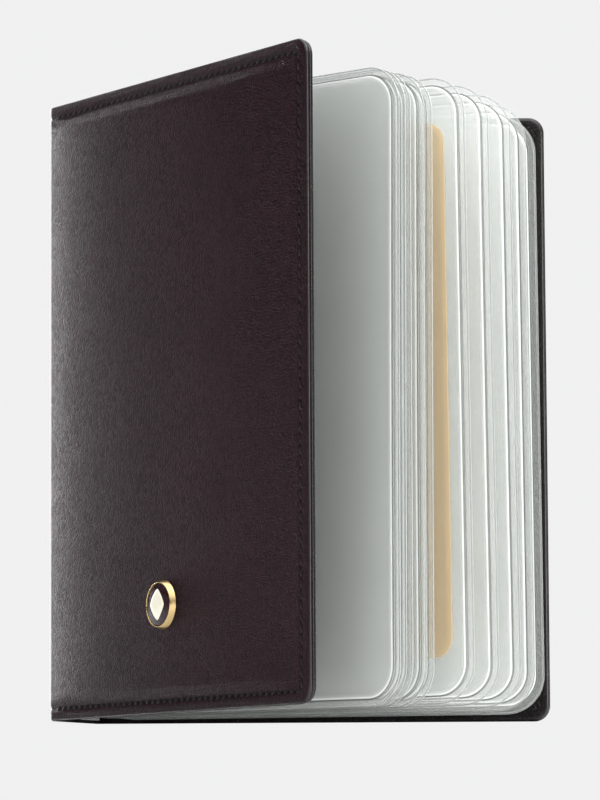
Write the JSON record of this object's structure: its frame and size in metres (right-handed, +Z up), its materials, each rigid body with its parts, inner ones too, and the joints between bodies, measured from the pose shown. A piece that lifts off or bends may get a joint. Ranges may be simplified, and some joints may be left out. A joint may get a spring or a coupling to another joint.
{
  "type": "business card case",
  "caption": "Small book-like leather case that folds open on a spine, with clear pocket leaves for business cards, one card and a round emblem.",
  "frame": {"origin": "middle of the bounding box's bottom, on the surface that the case stands on", "axes": "+Z up along the spine, +X along the back cover away from the spine, +Y out of the back cover's outer face"},
  "size_m": [0.0826, 0.0758, 0.102],
  "materials": {
    "outer_leather": "fine-grained burgundy-black calf, satin",
    "inner_leather": "black embossed lining leather, satin",
    "board": "plain stiffening board",
    "thread": "waxed dark thread",
    "clear_vinyl": "clear, lightly frosted vinyl film",
    "card": "gold-coloured card, satin",
    "gilt_metal": "polished gilt",
    "dark_enamel": "dark glossy dome",
    "ivory_enamel": "ivory, glossy",
    "fixing_metal": "plain"
  },
  "bodies": {
    "back_cover": {"back_cover_leather": "outer_leather", "back_board": "board", "back_lining": "inner_leather", "back_inner_pocket": "inner_leather", "back_stitching": "thread", "back_insert_tab": "clear_vinyl"},
    "spine": {"spine_leather": "outer_leather", "spine_board": "board", "spine_lining": "inner_leather", "insert_binding": "clear_vinyl"},
    "front_cover": {"front_cover_leather": "outer_leather", "front_board": "board", "front_lining": "inner_leather", "front_inner_pocket": "inner_leather", "front_stitching": "thread", "front_insert_tab": "clear_vinyl", "emblem_bezel": "gilt_metal", "emblem_disc": "dark_enamel", "emblem_inlay": "ivory_enamel", "emblem_prongs": "fixing_metal", "emblem_backplate": "fixing_metal"},
    "leaf_01": {"leaf_01_back_film": "clear_vinyl", "leaf_01_front_film": "clear_vinyl", "leaf_01_weld": "clear_vinyl"},
    "leaf_02": {"leaf_02_back_film": "clear_vinyl", "leaf_02_front_film": "clear_vinyl", "leaf_02_weld": "clear_vinyl"},
    "leaf_03": {"leaf_03_back_film": "clear_vinyl", "leaf_03_front_film": "clear_vinyl", "leaf_03_weld": "clear_vinyl"},
    "leaf_04": {"leaf_04_back_film": "clear_vinyl", "leaf_04_front_film": "clear_vinyl", "leaf_04_weld": "clear_vinyl"},
    "leaf_05": {"leaf_05_back_film": "clear_vinyl", "leaf_05_front_film": "clear_vinyl", "leaf_05_weld": "clear_vinyl"},
    "leaf_06": {"leaf_06_back_film": "clear_vinyl", "leaf_06_front_film": "clear_vinyl", "leaf_06_weld": "clear_vinyl"},
    "leaf_07": {"leaf_07_back_film": "clear_vinyl", "leaf_07_front_film": "clear_vinyl", "leaf_07_weld": "clear_vinyl"},
    "leaf_08": {"leaf_08_back_film": "clear_vinyl", "leaf_08_front_film": "clear_vinyl", "leaf_08_weld": "clear_vinyl"},
    "leaf_09": {"leaf_09_back_film": "clear_vinyl", "leaf_09_front_film": "clear_vinyl", "leaf_09_weld": "clear_vinyl"},
    "leaf_10": {"leaf_10_back_film": "clear_vinyl", "leaf_10_front_film": "clear_vinyl", "leaf_10_weld": "clear_vinyl"},
    "card": {"business_card": "card"}
  },
  "joints": [
    {"name": "spine_fold", "type": "hinge", "parent": "back_cover", "child": "spine", "pos_m": [-0.03416, 0.03734, 0], "axis": [0, 0, -1], "range_deg": [-28, 62]},
    {"name": "front_fold", "type": "hinge", "parent": "spine", "child": "front_cover", "pos_m": [-0.04074, 0.02498, 0], "axis": [0, 0, -1], "range_deg": [-28, 62]},
    {"name": "leaf_01_turn", "type": "hinge", "parent": "spine", "child": "leaf_01", "pos_m": [-0.03862, 0.02592, 0], "axis": [0, 0, -1], "range_deg": [-14.99, 33.18]},
    {"name": "leaf_02_turn", "type": "hinge", "parent": "spine", "child": "leaf_02", "pos_m": [-0.03808, 0.02694, 0], "axis": [0, 0, -1], "range_deg": [-14.43, 31.94]},
    {"name": "leaf_03_turn", "type": "hinge", "parent": "spine", "child": "leaf_03", "pos_m": [-0.03754, 0.02795, 0], "axis": [0, 0, -1], "range_deg": [-14.01, 31.01]},
    {"name": "leaf_04_turn", "type": "hinge", "parent": "spine", "child": "leaf_04", "pos_m": [-0.037, 0.02897, 0], "axis": [0, 0, -1], "range_deg": [-12.05, 26.67]},
    {"name": "leaf_05_turn", "type": "hinge", "parent": "spine", "child": "leaf_05", "pos_m": [-0.03646, 0.02998, 0], "axis": [0, 0, -1], "range_deg": [-11.21, 24.81]},
    {"name": "leaf_06_turn", "type": "hinge", "parent": "spine", "child": "leaf_06", "pos_m": [-0.03592, 0.031, 0], "axis": [0, 0, -1], "range_deg": [-3.79, 8.38]},
    {"name": "leaf_07_turn", "type": "hinge", "parent": "spine", "child": "leaf_07", "pos_m": [-0.03538, 0.03202, 0], "axis": [0, 0, -1], "range_deg": [-4.35, 1.97]},
    {"name": "leaf_08_turn", "type": "hinge", "parent": "spine", "child": "leaf_08", "pos_m": [-0.03484, 0.03303, 0], "axis": [0, 0, -1], "range_deg": [-19.54, 8.83]},
    {"name": "leaf_09_turn", "type": "hinge", "parent": "spine", "child": "leaf_09", "pos_m": [-0.0343, 0.03405, 0], "axis": [0, 0, -1], "range_deg": [-34.11, 15.41]},
    {"name": "leaf_10_turn", "type": "hinge", "parent": "spine", "child": "leaf_10", "pos_m": [-0.03376, 0.03506, 0], "axis": [0, 0, -1], "range_deg": [-53.33, 24.09]},
    {"name": "card_slide", "type": "slide", "parent": "leaf_06", "child": "card", "axis": [0.8501, -0.5267, 0], "range_m": [-0.012, 0.0025]}
  ],
  "couplings": [
    {"joint": "front_fold", "follows": "spine_fold", "ratio": 1},
    {"joint": "leaf_01_turn", "follows": "spine_fold", "ratio": 0.535},
    {"joint": "leaf_02_turn", "follows": "spine_fold", "ratio": 0.515},
    {"joint": "leaf_03_turn", "follows": "spine_fold", "ratio": 0.5},
    {"joint": "leaf_04_turn", "follows": "spine_fold", "ratio": 0.43},
    {"joint": "leaf_05_turn", "follows": "spine_fold", "ratio": 0.4},
    {"joint": "leaf_06_turn", "follows": "spine_fold", "ratio": 0.135},
    {"joint": "leaf_07_turn", "follows": "spine_fold", "ratio": -0.07},
    {"joint": "leaf_08_turn", "follows": "spine_fold", "ratio": -0.315},
    {"joint": "leaf_09_turn", "follows": "spine_fold", "ratio": -0.55},
    {"joint": "leaf_10_turn", "follows": "spine_fold", "ratio": -0.86}
  ]
}
